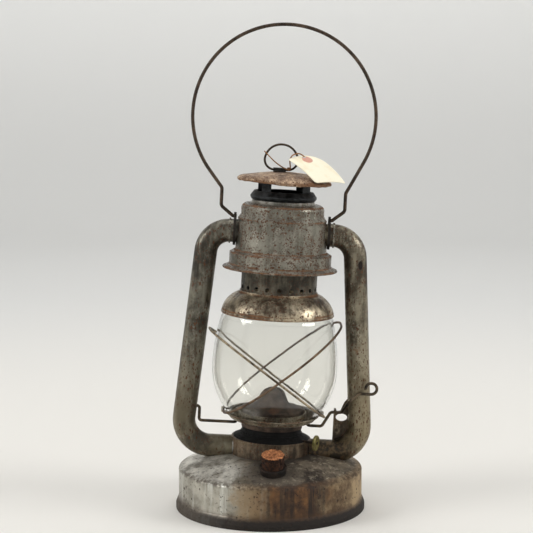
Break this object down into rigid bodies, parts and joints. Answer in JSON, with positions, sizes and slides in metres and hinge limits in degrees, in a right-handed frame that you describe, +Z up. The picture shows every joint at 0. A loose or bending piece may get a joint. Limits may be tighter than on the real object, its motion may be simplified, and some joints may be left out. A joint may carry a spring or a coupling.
{
  "type": "barn lantern",
  "caption": "Cold-blast oil lantern with a wide fount, side air tubes, a clear globe in wire guards, a lifting hood, a wire bail and a finger crank.",
  "frame": {"origin": "centre of the fount's foot ring, on the surface that the lantern stands on", "axes": "+Z up; -Y is the side with the filler cork; the air tubes stand on -X and +X"},
  "size_m": [0.1784, 0.165, 0.4185],
  "materials": {
    "fount_tin": "weathered tinplate with rust bloom",
    "frame_tin": "dull aged galvanised tin with rust specks",
    "bright_tin": "worn tin, cleaner than the rest",
    "cap_tin": "brown rust over tin",
    "sooty_iron": "sooty black",
    "rusty_iron": "rough rust",
    "wire": "dark oxidised wire",
    "guard_wire": "tan rust on wire",
    "brass": "tarnished",
    "glass": "clear, slightly hazy",
    "cork": "crumbly cork",
    "cotton": "woven cotton, charred at the top",
    "paper": "cream card",
    "string": "waxed twine"
  },
  "bodies": {
    "frame": {"fount_shell": "fount_tin", "fount_bottom": "fount_tin", "fount_collar": "brass", "filler_neck": "rusty_iron", "air_chamber": "frame_tin", "burner_deck": "sooty_iron", "burner_body": "sooty_iron", "burner_dome": "rusty_iron", "wick_tube": "brass", "left_tube": "frame_tin", "right_tube": "frame_tin", "left_ferrule": "frame_tin", "right_ferrule": "frame_tin", "left_bail_ear": "sooty_iron", "right_bail_ear": "sooty_iron", "canopy": "frame_tin", "canopy_neck": "bright_tin", "lift_bracket": "frame_tin"},
    "cork": {"cork": "cork"},
    "wick": {"wick": "cotton"},
    "knob": {"knob_wheel": "brass", "knob_shaft": "wire", "spur_wheels": "brass"},
    "bail": {"bail": "wire"},
    "crank": {"globe_crank": "wire"},
    "globe_carriage": {"globe_plate": "frame_tin", "globe": "glass", "left_guard_hoop": "guard_wire", "right_guard_hoop": "guard_wire", "guard_clips": "frame_tin"},
    "hood": {"bell": "frame_tin", "perforated_band": "frame_tin", "chimney_tube": "sooty_iron", "vent_crown": "sooty_iron", "cap": "cap_tin", "ring_staple": "sooty_iron", "tag": "paper", "tag_string": "string", "string_knot": "string"},
    "lift_ring": {"lift_ring": "wire"}
  },
  "joints": [
    {"name": "bail_swing", "type": "hinge", "parent": "frame", "child": "bail", "pos_m": [0.0104, 0, 0.25234], "axis": [0.9987, 0, -0.0506], "range_deg": [-100, 100]},
    {"name": "globe_lift", "type": "slide", "parent": "frame", "child": "globe_carriage", "axis": [0.0506, 0, 0.9987], "range_m": [0, 0.012]},
    {"name": "crank_turn", "type": "hinge", "parent": "frame", "child": "crank", "pos_m": [0.00194, 0, 0.08525], "axis": [0.9987, 0, -0.0506], "range_deg": [0, 21.1]},
    {"name": "hood_lift", "type": "slide", "parent": "globe_carriage", "child": "hood", "axis": [0.0506, 0, 0.9987], "range_m": [0, 0.015]},
    {"name": "ring_flip", "type": "hinge", "parent": "hood", "child": "lift_ring", "pos_m": [0.0125, 0, 0.29378], "axis": [0.9987, 0, -0.0506], "range_deg": [-80, 0]},
    {"name": "knob_turn", "type": "hinge", "parent": "frame", "child": "knob", "pos_m": [0.03637, -0.01845, 0.05988], "axis": [0.9247, -0.3778, -0.0468], "range_deg": [-120, 120]},
    {"name": "wick_raise", "type": "slide", "parent": "frame", "child": "wick", "axis": [0.0506, 0, 0.9987], "range_m": [-0.0055, 0.0055]},
    {"name": "cork_pull", "type": "slide", "parent": "frame", "child": "cork", "axis": [0, -0.2504, 0.9681], "range_m": [0, 0.03]}
  ],
  "couplings": [
    {"joint": "crank_turn", "follows": "globe_lift", "rad_per_m": 30.54},
    {"joint": "wick_raise", "follows": "knob_turn", "m_per_rad": 0.0026}
  ]
}
